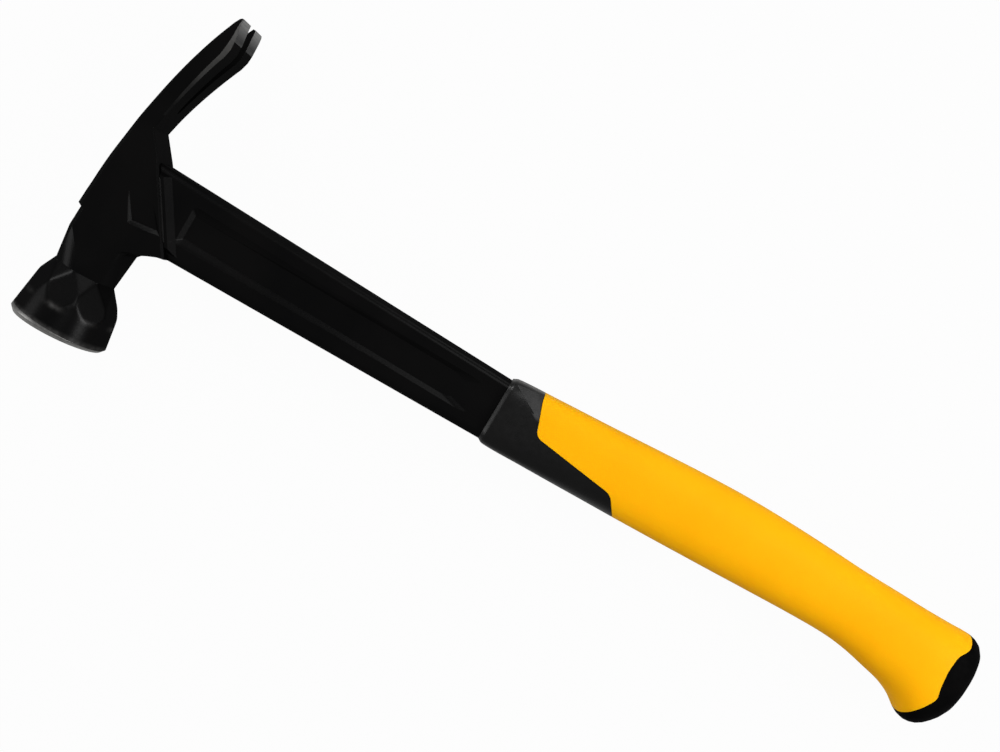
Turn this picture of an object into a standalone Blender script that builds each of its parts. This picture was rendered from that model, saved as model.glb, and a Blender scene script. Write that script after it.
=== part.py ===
"""Straight claw framing hammer, lying on its side, in metres.

While it is modelled, X runs from the axis of the striking poll along the shaft to the butt, Y runs from the
strike face to the claw with the shaft's axis at Y = 0, and Z runs across the hammer from its middle plane.
The empty that carries the pieces then brings the bottom centre of the whole to the origin.
"""

import math

import bmesh
import bpy
from mathutils import Matrix, Vector

# Fits
CLEARANCE = 0.0003

# Striking poll
RIM_RADIUS = 0.0205
FACE_RADIUS = 0.0178
FACE_REACH = 0.0648
FACE_CHAMFER = 0.0038
RIM_BAND = 0.0075
FLARE_RADIUS = 0.0194
FLARE_ROUNDNESS = 0.8
SHOULDER_RADIUS = 0.0170
SHOULDER_ROUNDNESS = 0.3
SHOULDER_LENGTH = 0.0065
NECK_RADIUS = 0.0117
NECK_OFFSET_X = -0.0014
NECK_SIDES = 8
POLL_LENGTH = 0.0255
POLL_SIDES = 48
SPIGOT_RADIUS = 0.0050
SPIGOT_LENGTH = 0.0060
SPIGOT_SIDES = 24

# Head forging
TOP_HEIGHT = 0.0148
TOP_CREST_Y = -0.0140
TOP_CURVE_RADIUS = 0.2120
NECK_STEP_Y = -0.0130
NECK_STEP_DEPTH = 0.0009
NECK_ROOT_Y = -0.0232
NECK_ROOT_WIDTH = 0.0228
CHEEK_WIDTH = 0.0220
CHEEK_EDGE = 0.0020
GUSSET_Y = 0.0268
CLAW_REACH = 0.0812
CLAW_THICKNESS = 0.0071
CLAW_ROOT_WIDTH = 0.0245
CLAW_FULL_WIDTH = 0.0330
CLAW_TIP_WIDTH = 0.0300
CLAW_EDGE = 0.0009
CLAW_STEPS = 7
TIP_BEVEL_LENGTH = 0.0115
TIP_THICKNESS = 0.0010
SLOT_LENGTH = 0.0450
SLOT_MOUTH = 0.0095
SLOT_END_WIDTH = 0.0022
CHEEK_POCKET_DEPTH = 0.0008
CHEEK_POCKET_DRAFT = 0.0008
CHEEK_POCKET_HEIGHT = 0.0180
CHEEK_POCKET_LENGTH = 0.0110
CHEEK_POCKET_GAP = 0.0035

# Joint between head and shaft, a plane that slants across the cheek
JOINT_TOP_X = 0.0068
JOINT_BOTTOM_X = 0.0262
JOINT_EDGE = 0.0010
RAMP_LENGTH = 0.0072
TENON_LENGTH = 0.0180

# Shaft shells
SHAFT_HEAD_WIDTH = 0.0322
SHAFT_GRIP_WIDTH = 0.0263
SHAFT_THICKNESS = 0.0170
SHAFT_FILLET = 0.0032
SHELL_WALL = 0.0015
SEAM_WALL = 0.0028
PANEL_DEPTH = 0.0012
PANEL_DRAFT = 0.0016
PANEL_HEIGHT = 0.0124
PANEL_START_X = 0.0272
PANEL_END_GAP = 0.0085
TANG_WIDTH = 0.0150
TANG_THICKNESS = 0.0060
TANG_OFFSET_Y = 0.0035

# Weld grooves and beads
WELD_GROOVE = 0.0020
WELD_RADIUS = 0.0007
WELD_SIDES = 12

# Grip
COLLAR_X = 0.1695
COLLAR_STEP = 0.0018
COLLAR_THICKNESS = 0.0225
COLLAR_SQUARENESS = 5.0
SOCKET_DEPTH = 0.0080
GRIP_LENGTH = 0.2188
GRIP_POINTS = 32
CORE_WALL = 0.0025
CORE_FILLET = 0.0024
PLUG_LENGTH = 0.0070

# Meshing
FILLET_STEPS = 4
MERGE_DISTANCE = 1e-6
FLAT_ANGLE = math.radians(1)
SMOOTH_ANGLE = math.radians(35)

# Grip sections behind the collar: distance from the collar's front, reach to the claw side, reach to the face
# side, half thickness, and squareness (2 is an ellipse). The last rows round off the butt.
GRIP_SECTIONS = (
    (0.0200, 0.0162, 0.0141, 0.0120, 4.5),
    (0.0450, 0.0179, 0.0136, 0.0131, 3.2),
    (0.0650, 0.0194, 0.0131, 0.0137, 2.8),
    (0.0850, 0.0208, 0.0124, 0.0140, 2.6),
    (0.1050, 0.0217, 0.0116, 0.0141, 2.5),
    (0.1250, 0.0217, 0.0107, 0.0139, 2.5),
    (0.1450, 0.0211, 0.0099, 0.0135, 2.5),
    (0.1600, 0.0204, 0.0098, 0.0133, 2.5),
    (0.1700, 0.0202, 0.0108, 0.0135, 2.5),
    (0.1800, 0.0201, 0.0128, 0.0140, 2.5),
    (0.1890, 0.0199, 0.0154, 0.0147, 2.5),
    (0.1960, 0.0199, 0.0188, 0.0153, 2.6),
    (0.2030, 0.0202, 0.0228, 0.0156, 2.6),
    (0.2085, 0.0204, 0.0221, 0.0150, 2.6),
    (0.2130, 0.0196, 0.0186, 0.0135, 2.5),
    (0.2170, 0.0161, 0.0128, 0.0105, 2.4),
    (GRIP_LENGTH, 0.0088, 0.0058, 0.0062, 2.2),
)

# Edge of the black collar and its tongue, as distance from the collar's front and height, top to bottom
COLLAR_EDGE = (
    (0.0140, 0.0300),
    (0.0142, 0.0170),
    (0.0185, -0.0014),
    (0.0560, -0.0058),
    (0.0690, -0.0300),
)

# Edge of the butt cap, as distance from the grip's end and height, top to bottom
CAP_EDGE = (
    (0.0085, 0.0300),
    (0.0085, 0.0180),
    (0.0070, 0.0145),
    (0.0118, 0.0090),
    (0.0123, -0.0018),
    (0.0098, -0.0110),
    (0.0172, -0.0205),
    (0.0230, -0.0300),
)

# Finishes: colour, roughness, metallic
BLACK_PAINT = ("black_paint", (0.012, 0.012, 0.013), 0.45, 0.0)
WELD_PAINT = ("weld_paint", (0.015, 0.015, 0.016), 0.40, 0.0)
BLACK_NYLON = ("black_nylon", (0.020, 0.020, 0.021), 0.55, 0.0)
YELLOW_RUBBER = ("yellow_rubber", (0.980, 0.462, 0.006), 0.55, 0.0)

NECK_JOINT_Y = POLL_LENGTH - FACE_REACH
CHEEK_HALF = CHEEK_WIDTH / 2
BEVEL_Y = CLAW_REACH - TIP_BEVEL_LENGTH
SHAFT_HALF = SHAFT_THICKNESS / 2
SHOULDER_X = COLLAR_X + SOCKET_DEPTH
PANEL_END_X = COLLAR_X - PANEL_END_GAP
PANEL_FLOOR_Z = SHAFT_HALF - PANEL_DEPTH
CAVITY_Z = PANEL_FLOOR_Z - SHELL_WALL
RAMP_RISE = CHEEK_HALF - PANEL_FLOOR_Z
WELD_INSET = WELD_GROOVE - (WELD_RADIUS + CLEARANCE) * math.sqrt(2)
GRIP_END_X = COLLAR_X + GRIP_LENGTH
TANG_HALF = TANG_THICKNESS / 2
CAP_FRONT_X = GRIP_END_X - max(x for x, y in CAP_EDGE if abs(y) < TANG_WIDTH)
TANG_END_X = CAP_FRONT_X - PLUG_LENGTH
SIDES = ((1, "upper"), (-1, "lower"))
EDGES = ((1, "claw_side"), (-1, "face_side"))


def start_scene():
    for thing in list(bpy.data.objects):
        bpy.data.objects.remove(thing, do_unlink=True)
    folders = []
    for name in ("claw_hammer", "claw_hammer_cutters"):
        folder = bpy.data.collections.new(name)
        bpy.context.scene.collection.children.link(folder)
        folders.append(folder)
    return folders


PARTS, CUTTERS = start_scene()


def make_carrier():
    carrier = bpy.data.objects.new("hammer", None)
    PARTS.objects.link(carrier)
    carrier.location = (
        (RIM_RADIUS - GRIP_END_X) / 2,
        (FACE_REACH - CLAW_REACH) / 2,
        RIM_RADIUS,
    )
    return carrier


CARRIER = make_carrier()


def solid(name, shape):
    """The object made from a bmesh, hung on the carrier."""
    mesh = bpy.data.meshes.new(name)
    shape.to_mesh(mesh)
    shape.free()
    made = bpy.data.objects.new(name, mesh)
    PARTS.objects.link(made)
    made.parent = CARRIER
    return made


def loft(name, rings):
    """A closed solid through rings that have the same number of points."""
    shape = bmesh.new()
    loops = [[shape.verts.new(point) for point in ring] for ring in rings]
    for lower, upper in zip(loops, loops[1:]):
        for i in range(len(lower)):
            j = (i + 1) % len(lower)
            shape.faces.new((lower[i], lower[j], upper[j], upper[i]))
    shape.faces.new(loops[0])
    shape.faces.new(loops[-1])
    bmesh.ops.recalc_face_normals(shape, faces=shape.faces)
    return solid(name, shape)


def plate(name, outline, low, high, fillet=0.0, fillet_below=False):
    """An outline in X and Y, filled and extruded from Z = low to high, with its upper or both rims rounded."""
    curve = bpy.data.curves.new(name, "CURVE")
    curve.dimensions = "2D"
    curve.fill_mode = "BOTH"
    curve.extrude = (high - low) / 2
    spline = curve.splines.new("POLY")
    spline.points.add(len(outline) - 1)
    for point, (x, y) in zip(spline.points, outline):
        point.co = (x, y, 0, 1)
    spline.use_cyclic_u = True
    flat = bpy.data.objects.new(name, curve)
    PARTS.objects.link(flat)
    mesh = bpy.data.meshes.new_from_object(flat.evaluated_get(bpy.context.evaluated_depsgraph_get()))
    bpy.data.objects.remove(flat)
    shape = bmesh.new()
    shape.from_mesh(mesh)
    bmesh.ops.remove_doubles(shape, verts=shape.verts, dist=MERGE_DISTANCE)
    bmesh.ops.dissolve_limit(shape, angle_limit=FLAT_ANGLE, verts=shape.verts, edges=shape.edges)
    bmesh.ops.recalc_face_normals(shape, faces=shape.faces)
    if fillet:
        rims = [edge for edge in shape.edges if edge.verts[0].co.z * edge.verts[1].co.z > 0]
        rounded = [edge for edge in rims if fillet_below or edge.verts[0].co.z > 0]
        bmesh.ops.bevel(
            shape,
            geom=rounded,
            offset=fillet,
            segments=FILLET_STEPS,
            profile=0.5,
            affect="EDGES",
            material=-1,
        )
    bmesh.ops.translate(shape, verts=shape.verts, vec=(0, 0, (low + high) / 2))
    return solid(name, shape)


def rod(name, start, end, radius, outward, sides=WELD_SIDES):
    """A straight bar between two points. With four sides it is a diamond with corners along outward."""
    start, end = Vector(start), Vector(end)
    along = (end - start).normalized()
    outward = Vector(outward).normalized()
    turn = Matrix((outward, along.cross(outward), along)).transposed().to_4x4()
    shape = bmesh.new()
    bmesh.ops.create_cone(
        shape,
        cap_ends=True,
        segments=sides,
        radius1=radius,
        radius2=radius,
        depth=(end - start).length,
        matrix=Matrix.Translation((start + end) / 2) @ turn,
    )
    return solid(name, shape)


def weld_ring(name, radius, thickness, sides):
    """A ring round the neck at its joint, with as many flats as the neck and sides round its own section."""
    shape = bmesh.new()
    middle = Vector((NECK_OFFSET_X, NECK_JOINT_Y, 0))
    rings = []
    for k in range(NECK_SIDES):
        angle = 2 * math.pi * (k + 0.5) / NECK_SIDES
        corner = Vector((math.cos(angle), 0, math.sin(angle))) / math.cos(math.pi / NECK_SIDES)
        ring = []
        for i in range(sides):
            turn = 2 * math.pi * i / sides
            along = Vector((0, thickness * math.sin(turn), 0))
            ring.append(shape.verts.new(middle + corner * (radius + thickness * math.cos(turn)) + along))
        rings.append(ring)
    for lower, upper in zip(rings, rings[1:] + rings[:1]):
        for i in range(sides):
            j = (i + 1) % sides
            shape.faces.new((lower[i], lower[j], upper[j], upper[i]))
    bmesh.ops.recalc_face_normals(shape, faces=shape.faces)
    return solid(name, shape)


def change(part, tool, operation="DIFFERENCE"):
    """Cuts, joins or limits a part with a helper object, which is kept apart as a wire."""
    step = part.modifiers.new(f"{operation.lower()} {tool.name}", "BOOLEAN")
    step.operation = operation
    step.solver = "EXACT"
    step.object = tool
    if tool.name not in CUTTERS.objects:
        CUTTERS.objects.link(tool)
        PARTS.objects.unlink(tool)
        tool.hide_render = True
        tool.display_type = "WIRE"


def finish(part, look):
    name, colour, roughness, metallic = look
    material = bpy.data.materials.get(name)
    if material is None:
        material = bpy.data.materials.new(name)
        material.use_nodes = True
        shader = material.node_tree.nodes["Principled BSDF"]
        shader.inputs["Base Color"].default_value = (*colour, 1)
        shader.inputs["Roughness"].default_value = roughness
        shader.inputs["Metallic"].default_value = metallic
    part.data.materials.append(material)
    part.data.shade_smooth()
    part.data.set_sharp_from_angle(angle=SMOOTH_ANGLE)


def blend(value, points):
    """Straight-line reading of a list of (place, size) pairs."""
    for (low, first), (high, second) in zip(points, points[1:]):
        if value <= high:
            return first + (second - first) * (value - low) / (high - low)
    return points[-1][1]


def shaft_half_width(x):
    """Half the shaft's width, which tapers evenly from the head joint to the collar."""
    taper = (SHAFT_HEAD_WIDTH - SHAFT_GRIP_WIDTH) / (COLLAR_X - JOINT_BOTTOM_X)
    return (SHAFT_HEAD_WIDTH - taper * (x - JOINT_BOTTOM_X)) / 2


JOINT_TOP = Vector((JOINT_TOP_X, shaft_half_width(JOINT_TOP_X), 0))
JOINT_BOTTOM = Vector((JOINT_BOTTOM_X, -shaft_half_width(JOINT_BOTTOM_X), 0))
JOINT_ALONG = (JOINT_TOP - JOINT_BOTTOM).normalized()
JOINT_OUTWARD = Vector((JOINT_ALONG.y, -JOINT_ALONG.x, 0))
JOINT_LEAN = -JOINT_ALONG.x / JOINT_ALONG.y


def claw_arc(y, inset):
    """X of the head's top line, or of a line that lies inset below it, at a height on the claw."""
    radius = TOP_CURVE_RADIUS - inset
    return TOP_CURVE_RADIUS - TOP_HEIGHT - math.sqrt(radius**2 - (y - TOP_CREST_Y) ** 2)


def head_top(y):
    if y >= NECK_STEP_Y:
        return claw_arc(y, 0)
    step_x = claw_arc(NECK_STEP_Y, 0) + NECK_STEP_DEPTH
    return blend(y, ((NECK_JOINT_Y, NECK_OFFSET_X - NECK_RADIUS), (NECK_STEP_Y, step_x)))


def head_under(y):
    if GUSSET_Y <= y <= BEVEL_Y:
        return claw_arc(y, CLAW_THICKNESS)
    corners = (
        (NECK_JOINT_Y, NECK_OFFSET_X + NECK_RADIUS),
        (NECK_ROOT_Y, NECK_OFFSET_X + NECK_ROOT_WIDTH / 2),
        (JOINT_BOTTOM.y, JOINT_BOTTOM.x),
        (JOINT_TOP.y, JOINT_TOP.x),
        (GUSSET_Y, claw_arc(GUSSET_Y, CLAW_THICKNESS)),
        (BEVEL_Y, claw_arc(BEVEL_Y, CLAW_THICKNESS)),
        (CLAW_REACH, claw_arc(CLAW_REACH, 0) + TIP_THICKNESS),
    )
    return blend(y, corners)


def head_half_width(y):
    widths = (
        (NECK_JOINT_Y, NECK_RADIUS),
        (NECK_ROOT_Y, CHEEK_HALF),
        (JOINT_TOP.y, CHEEK_HALF),
        (GUSSET_Y, CLAW_ROOT_WIDTH / 2),
        (BEVEL_Y, CLAW_FULL_WIDTH / 2),
        (CLAW_REACH, CLAW_TIP_WIDTH / 2),
    )
    return blend(y, widths)


def head_edge(y, cheek_edge):
    """Size of the cut-off corners of a section: an even octagon at the neck, slight on cheeks and claw."""
    octagon = NECK_RADIUS * (2 - math.sqrt(2))
    edges = (
        (NECK_JOINT_Y, octagon),
        (NECK_ROOT_Y, CHEEK_EDGE),
        (JOINT_BOTTOM.y, cheek_edge),
        (JOINT_TOP.y, cheek_edge),
        (GUSSET_Y, CLAW_EDGE),
        (BEVEL_Y, CLAW_EDGE),
        (CLAW_REACH, TIP_THICKNESS / 4),
    )
    return blend(y, edges)


def head_ring(y):
    """Eight-sided section across the head: a rectangle with its corners cut off."""
    top, under, half = head_top(y), head_under(y), head_half_width(y)
    edge, joint_edge = head_edge(y, CHEEK_EDGE), head_edge(y, JOINT_EDGE)
    right = ((top, half - edge), (top + edge, half), (under - joint_edge, half), (under, half - joint_edge))
    left = [(x, -z) for x, z in reversed(right)]
    return [(x, y, z) for x, z in (*right, *left)]


def make_head_forging(grooves):
    heights = [
        NECK_JOINT_Y + CLEARANCE / 2,
        NECK_ROOT_Y,
        JOINT_BOTTOM.y,
        NECK_STEP_Y - NECK_STEP_DEPTH,
        NECK_STEP_Y,
        0,
        JOINT_TOP.y,
    ]
    heights += [GUSSET_Y + (BEVEL_Y - GUSSET_Y) * k / CLAW_STEPS for k in range(CLAW_STEPS + 1)]
    heights.append(CLAW_REACH)
    head = loft("head_forging", [head_ring(y) for y in heights])
    change(head, make_tenon(), "UNION")
    change(head, make_claw_slot())
    for side, name in SIDES:
        change(head, make_cheek_pocket(side, name))
        change(head, grooves[name])
    change(head, make_spigot("spigot_socket", CLEARANCE))
    change(head, weld_ring("neck_groove", NECK_RADIUS, WELD_GROOVE, 4))
    finish(head, BLACK_PAINT)


def make_tenon():
    """Bar on the head that fills the mouth of the shells' cavity."""
    start, end = JOINT_TOP.x - WELD_GROOVE, JOINT_BOTTOM.x + TENON_LENGTH
    half = shaft_half_width(end) - SEAM_WALL - CLEARANCE
    thickness = CAVITY_Z - CLEARANCE
    return plate("tenon", ((start, -half), (end, -half), (end, half), (start, half)), -thickness, thickness)


def make_claw_slot():
    """Wedge for the V between the tines, from its narrow end past the tips."""
    over = 1 + CLAW_THICKNESS / SLOT_LENGTH
    start_y = CLAW_REACH - SLOT_LENGTH
    end_y = start_y + SLOT_LENGTH * over
    mouth = SLOT_END_WIDTH + (SLOT_MOUTH - SLOT_END_WIDTH) * over
    ring = ((-SLOT_END_WIDTH, start_y), (SLOT_END_WIDTH, start_y), (mouth, end_y), (-mouth, end_y))
    left = claw_arc(start_y, 0) - CLAW_TIP_WIDTH
    right = claw_arc(CLAW_REACH, 0) + CLAW_TIP_WIDTH
    return loft("claw_slot", [[(x, y, z / 2) for z, y in ring] for x in (left, right)])


def make_cheek_pocket(side, name):
    """Shallow panel in a cheek, as a parallelogram whose ends run along the joint."""
    joint_x = JOINT_TOP.x + JOINT_LEAN * JOINT_TOP.y
    rings = []
    for rise in (0, 2 * CHEEK_POCKET_DEPTH):
        spread = CHEEK_POCKET_DRAFT * rise / CHEEK_POCKET_DEPTH
        end = joint_x - CHEEK_POCKET_GAP + spread
        start = joint_x - CHEEK_POCKET_GAP - CHEEK_POCKET_LENGTH - spread
        half = CHEEK_POCKET_HEIGHT / 2 + spread
        z = side * (CHEEK_HALF - CHEEK_POCKET_DEPTH + rise)
        corners = ((start, -half), (end, -half), (end, half), (start, half))
        rings.append([(x - JOINT_LEAN * y, y, z) for x, y in corners])
    return loft(f"cheek_pocket_{name}", rings)


def make_spigot(name, growth):
    """Round boss that centres the poll in the neck."""
    root = Vector((NECK_OFFSET_X, NECK_JOINT_Y - RIM_BAND, 0))
    tip = Vector((NECK_OFFSET_X, NECK_JOINT_Y + SPIGOT_LENGTH + growth, 0))
    return rod(name, root, tip, SPIGOT_RADIUS + growth, (1, 0, 0), sides=SPIGOT_SIDES)


def poll_ring(y, x, radius, roundness):
    """Section of the poll, eight-sided where roundness is 0 and round where it is 1."""
    ring = []
    for k in range(POLL_SIDES):
        angle = 2 * math.pi * k / POLL_SIDES
        flat = 2 * math.pi / NECK_SIDES
        off_flat = (angle + flat / 2) % flat - flat / 2
        reach = radius * (roundness + (1 - roundness) / math.cos(off_flat))
        ring.append((x + reach * math.cos(angle), y, reach * math.sin(angle)))
    return ring


def make_striking_poll():
    start = NECK_JOINT_Y - CLEARANCE / 2
    band = -FACE_REACH + FACE_CHAMFER
    sections = (
        (start, NECK_OFFSET_X, NECK_RADIUS, 0),
        (NECK_JOINT_Y - WELD_GROOVE, NECK_OFFSET_X, NECK_RADIUS, 0),
        (NECK_JOINT_Y - WELD_GROOVE - SHOULDER_LENGTH, 0, SHOULDER_RADIUS, SHOULDER_ROUNDNESS),
        (band + RIM_BAND, 0, FLARE_RADIUS, FLARE_ROUNDNESS),
        (band + RIM_BAND / 2, 0, RIM_RADIUS, 1),
        (band, 0, RIM_RADIUS, 1),
        (-FACE_REACH, 0, FACE_RADIUS, 1),
    )
    poll = loft("striking_poll", [poll_ring(*section) for section in sections])
    change(poll, make_spigot("spigot", 0), "UNION")
    change(poll, bpy.data.objects["neck_groove"])
    finish(poll, BLACK_PAINT)


def make_poll_weld():
    bead = weld_ring("poll_weld", NECK_RADIUS - WELD_INSET, WELD_RADIUS, WELD_SIDES)
    finish(bead, WELD_PAINT)


def shaft_outline(end_x, growth):
    """Outline of the tapered shaft, from its slanting head end to a square end."""
    half = shaft_half_width(end_x) + growth
    gap = JOINT_OUTWARD * (CLEARANCE - growth)
    return (
        (JOINT_TOP.x + gap.x, JOINT_TOP.y + growth),
        (JOINT_BOTTOM.x + gap.x, JOINT_BOTTOM.y - growth),
        (end_x, -half),
        (end_x, half),
    )


def make_tang(name, low, growth):
    """Narrow end of the shaft that the grip is moulded on."""
    top = TANG_OFFSET_Y + TANG_WIDTH / 2 + growth
    bottom = TANG_OFFSET_Y - TANG_WIDTH / 2 - growth
    start, end = SHOULDER_X - SOCKET_DEPTH, TANG_END_X + growth
    outline = ((start, bottom), (end, bottom), (end, top), (start, top))
    return plate(name, outline, low, TANG_HALF + growth)


def make_cavity():
    """Hollow between the shells, from the head end to the shoulder."""
    start, end = JOINT_TOP.x - 2 * WELD_GROOVE, COLLAR_X
    start_half, end_half = shaft_half_width(start) - SEAM_WALL, shaft_half_width(end) - SEAM_WALL
    outline = ((start, -start_half), (end, -end_half), (end, end_half), (start, start_half))
    return plate("shaft_cavity", outline, -CAVITY_Z, CAVITY_Z)


def make_panel(side, name):
    """Recess in a shell's side, whose walls lean outwards by the draft."""
    rings = []
    for rise in (0, 2 * PANEL_DEPTH):
        spread = PANEL_DRAFT * rise / PANEL_DEPTH
        start, end = PANEL_START_X - spread, PANEL_END_X + spread
        half = PANEL_HEIGHT / 2 + spread
        z = side * (PANEL_FLOOR_Z + rise)
        rings.append([(start, -half, z), (end, -half, z), (end, half, z), (start, half, z)])
    return loft(f"shaft_panel_{name}", rings)


def make_ramp(side, name):
    """Wedge that thickens a shell's head end to the width of the cheeks."""
    start, end = Vector((2 * CLEARANCE, 0, 0)), Vector((RAMP_LENGTH, 0, 0))
    low = PANEL_FLOOR_Z - SHELL_WALL / 2
    inset, slope = JOINT_ALONG * SHAFT_FILLET, JOINT_ALONG * RAMP_RISE
    places = (
        (JOINT_BOTTOM + inset, PANEL_FLOOR_Z),
        (JOINT_BOTTOM + inset + slope, CHEEK_HALF),
        (JOINT_TOP - inset - slope, CHEEK_HALF),
        (JOINT_TOP - inset, PANEL_FLOOR_Z),
    )
    rings = []
    for place, high in places:
        near, far = place + start, place + end
        profile = ((near, low), (far, low), (far, PANEL_FLOOR_Z), (near, high))
        rings.append([(point.x, point.y, side * z) for point, z in profile])
    return loft(f"ramp_{name}", rings)


def seam_line(side, inset):
    """Ends of the shells' seam on one edge of the shaft, set inset below the edge."""
    joint = JOINT_TOP if side > 0 else JOINT_BOTTOM
    start = joint.x + JOINT_OUTWARD.x * 2 * WELD_GROOVE
    end = COLLAR_X - CLEARANCE
    return [Vector((x, side * (shaft_half_width(x) - inset), 0)) for x in (start, end)]


def make_seam_grooves():
    grooves = []
    for side, name in EDGES:
        start, end = seam_line(side, 0)
        past = (end - start).normalized() * 3 * WELD_GROOVE
        groove = rod(f"seam_groove_{name}", start - past, end + past, WELD_GROOVE, (0, 0, 1), sides=4)
        grooves.append(groove)
    return grooves


def make_seam_welds():
    for side, name in EDGES:
        start, end = seam_line(side, WELD_INSET)
        bead = rod(f"seam_weld_{name}", start, end, WELD_RADIUS, (0, 0, 1))
        finish(bead, WELD_PAINT)


def make_head_grooves():
    """Grooves along the joint, one on each cheek, that head and shells share."""
    grooves = {}
    for side, name in SIDES:
        rise = Vector((0, 0, side * CHEEK_HALF))
        past = JOINT_ALONG * SHAFT_FILLET
        start, end = JOINT_BOTTOM + rise - past, JOINT_TOP + rise + past
        grooves[name] = rod(f"head_groove_{name}", start, end, WELD_GROOVE, (0, 0, 1), sides=4)
    return grooves


def make_head_welds():
    inset = JOINT_ALONG * (SHAFT_FILLET + RAMP_RISE)
    for side, name in SIDES:
        rise = Vector((0, 0, side * (CHEEK_HALF - WELD_INSET)))
        start, end = JOINT_BOTTOM + rise + inset, JOINT_TOP + rise - inset
        bead = rod(f"head_weld_{name}", start, end, WELD_RADIUS, (0, 0, 1))
        finish(bead, WELD_PAINT)


def turn_over(part):
    """Mirrors a part's mesh to the other side of the middle plane."""
    part.data.transform(Matrix.Scale(-1, 4, (0, 0, 1)))
    part.data.flip_normals()


def make_shaft_shells(head_grooves):
    seam_grooves = make_seam_grooves()
    cavity = make_cavity()
    outline = shaft_outline(SHOULDER_X, 0)
    for side, name in SIDES:
        shell = plate(f"shaft_shell_{name}", outline, CLEARANCE / 2, SHAFT_HALF, SHAFT_FILLET)
        tang = make_tang(f"tang_{name}", CLEARANCE / 2, 0)
        if side < 0:
            turn_over(shell)
            turn_over(tang)
        change(shell, tang, "UNION")
        change(shell, make_ramp(side, name), "UNION")
        change(shell, cavity)
        change(shell, make_panel(side, name))
        for groove in (*seam_grooves, head_grooves[name]):
            change(shell, groove)
        finish(shell, BLACK_PAINT)


def grip_ring(x, high, low, half, squareness):
    """Rounded-square section of the grip."""
    ring = []
    for k in range(GRIP_POINTS):
        angle = 2 * math.pi * (k + 0.5) / GRIP_POINTS
        rise = math.copysign(abs(math.sin(angle)) ** (2 / squareness), math.sin(angle))
        out = math.copysign(abs(math.cos(angle)) ** (2 / squareness), math.cos(angle))
        ring.append((x, (high - low) / 2 + (high + low) / 2 * rise, half * out))
    return ring


def make_grip_form(name):
    """Outer form that the collar, the soft grip and the cap share."""
    front = shaft_half_width(COLLAR_X) + COLLAR_STEP
    rings = [grip_ring(COLLAR_X, front, front, COLLAR_THICKNESS / 2, COLLAR_SQUARENESS)]
    for distance, *section in GRIP_SECTIONS:
        rings.append(grip_ring(COLLAR_X + distance, *section))
    return loft(name, rings)


def make_collar_zone(name, growth):
    """Side view of the black collar and its tongue, cut through the whole grip."""
    deep = GRIP_LENGTH / 2
    edge = [(COLLAR_X + x + growth, y + growth) for x, y in COLLAR_EDGE]
    outline = [(COLLAR_X - deep, edge[0][1]), (COLLAR_X - deep, edge[-1][1]), *reversed(edge)]
    return plate(name, outline, -deep, deep)


def make_cap_zone(name, growth):
    """Side view of the butt cap, cut through the whole grip."""
    deep = GRIP_LENGTH / 2
    edge = [(GRIP_END_X - x - growth, y) for x, y in CAP_EDGE]
    outline = [*edge, (GRIP_END_X + deep, edge[-1][1]), (GRIP_END_X + deep, edge[0][1])]
    return plate(name, outline, -deep, deep)


def make_core_bar(name, growth):
    """Rigid bar round the tang, under the soft grip."""
    half_height = TANG_WIDTH / 2 + CLEARANCE + CORE_WALL + growth
    end = CAP_FRONT_X - CLEARANCE + growth
    outline = (
        (SHOULDER_X, TANG_OFFSET_Y - half_height),
        (end, TANG_OFFSET_Y - half_height),
        (end, TANG_OFFSET_Y + half_height),
        (SHOULDER_X, TANG_OFFSET_Y + half_height),
    )
    thickness = TANG_HALF + CLEARANCE + CORE_WALL + growth
    return plate(name, outline, -thickness, thickness, CORE_FILLET, fillet_below=True)


def make_grip_core():
    core = make_grip_form("grip_core")
    change(core, make_collar_zone("collar_zone", 0), "INTERSECT")
    change(core, make_core_bar("core_bar", 0), "UNION")
    reach = SHAFT_HALF + CLEARANCE
    outline = shaft_outline(SHOULDER_X + CLEARANCE, CLEARANCE)
    change(core, plate("shaft_socket", outline, -reach, reach, SHAFT_FILLET, fillet_below=True))
    change(core, make_tang("tang_socket", -TANG_HALF - CLEARANCE, CLEARANCE))
    change(core, make_plug("plug_socket", TANG_END_X - PLUG_LENGTH, CLEARANCE))
    finish(core, BLACK_NYLON)


def make_plug(name, front_x, growth):
    """Bar on the cap that closes the end of the core behind the tang."""
    half_height = TANG_WIDTH / 2 - CORE_WALL + growth
    outline = (
        (front_x, TANG_OFFSET_Y - half_height),
        (CAP_FRONT_X + PLUG_LENGTH, TANG_OFFSET_Y - half_height),
        (CAP_FRONT_X + PLUG_LENGTH, TANG_OFFSET_Y + half_height),
        (front_x, TANG_OFFSET_Y + half_height),
    )
    thickness = TANG_HALF + CORE_WALL / 2 + growth
    return plate(name, outline, -thickness, thickness)


def make_grip_overmould():
    grip = make_grip_form("grip_overmould")
    change(grip, make_collar_zone("collar_room", CLEARANCE))
    change(grip, make_core_bar("core_room", CLEARANCE))
    change(grip, make_cap_zone("cap_room", CLEARANCE))
    change(grip, bpy.data.objects["plug_socket"])
    finish(grip, YELLOW_RUBBER)


def make_butt_cap():
    cap = make_grip_form("butt_cap")
    change(cap, make_cap_zone("cap_zone", 0), "INTERSECT")
    change(cap, make_plug("plug", TANG_END_X + 2 * CLEARANCE, 0), "UNION")
    finish(cap, BLACK_NYLON)


joint_grooves = make_head_grooves()
make_head_forging(joint_grooves)
make_striking_poll()
make_poll_weld()
make_shaft_shells(joint_grooves)
make_seam_welds()
make_head_welds()
make_grip_core()
make_grip_overmould()
make_butt_cap()
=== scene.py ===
"""Looks of a straight claw hammer: painted steel head and shaft, and a yellow and black moulded grip.

Sizes are millimetres in the hammer's own frame. X runs from the poll's axis along the shaft to the butt,
Y from the strike face to the claw, and Z across the hammer from its middle plane.
"""

import math

import bmesh
import bpy
from mathutils import Matrix, Vector


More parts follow.
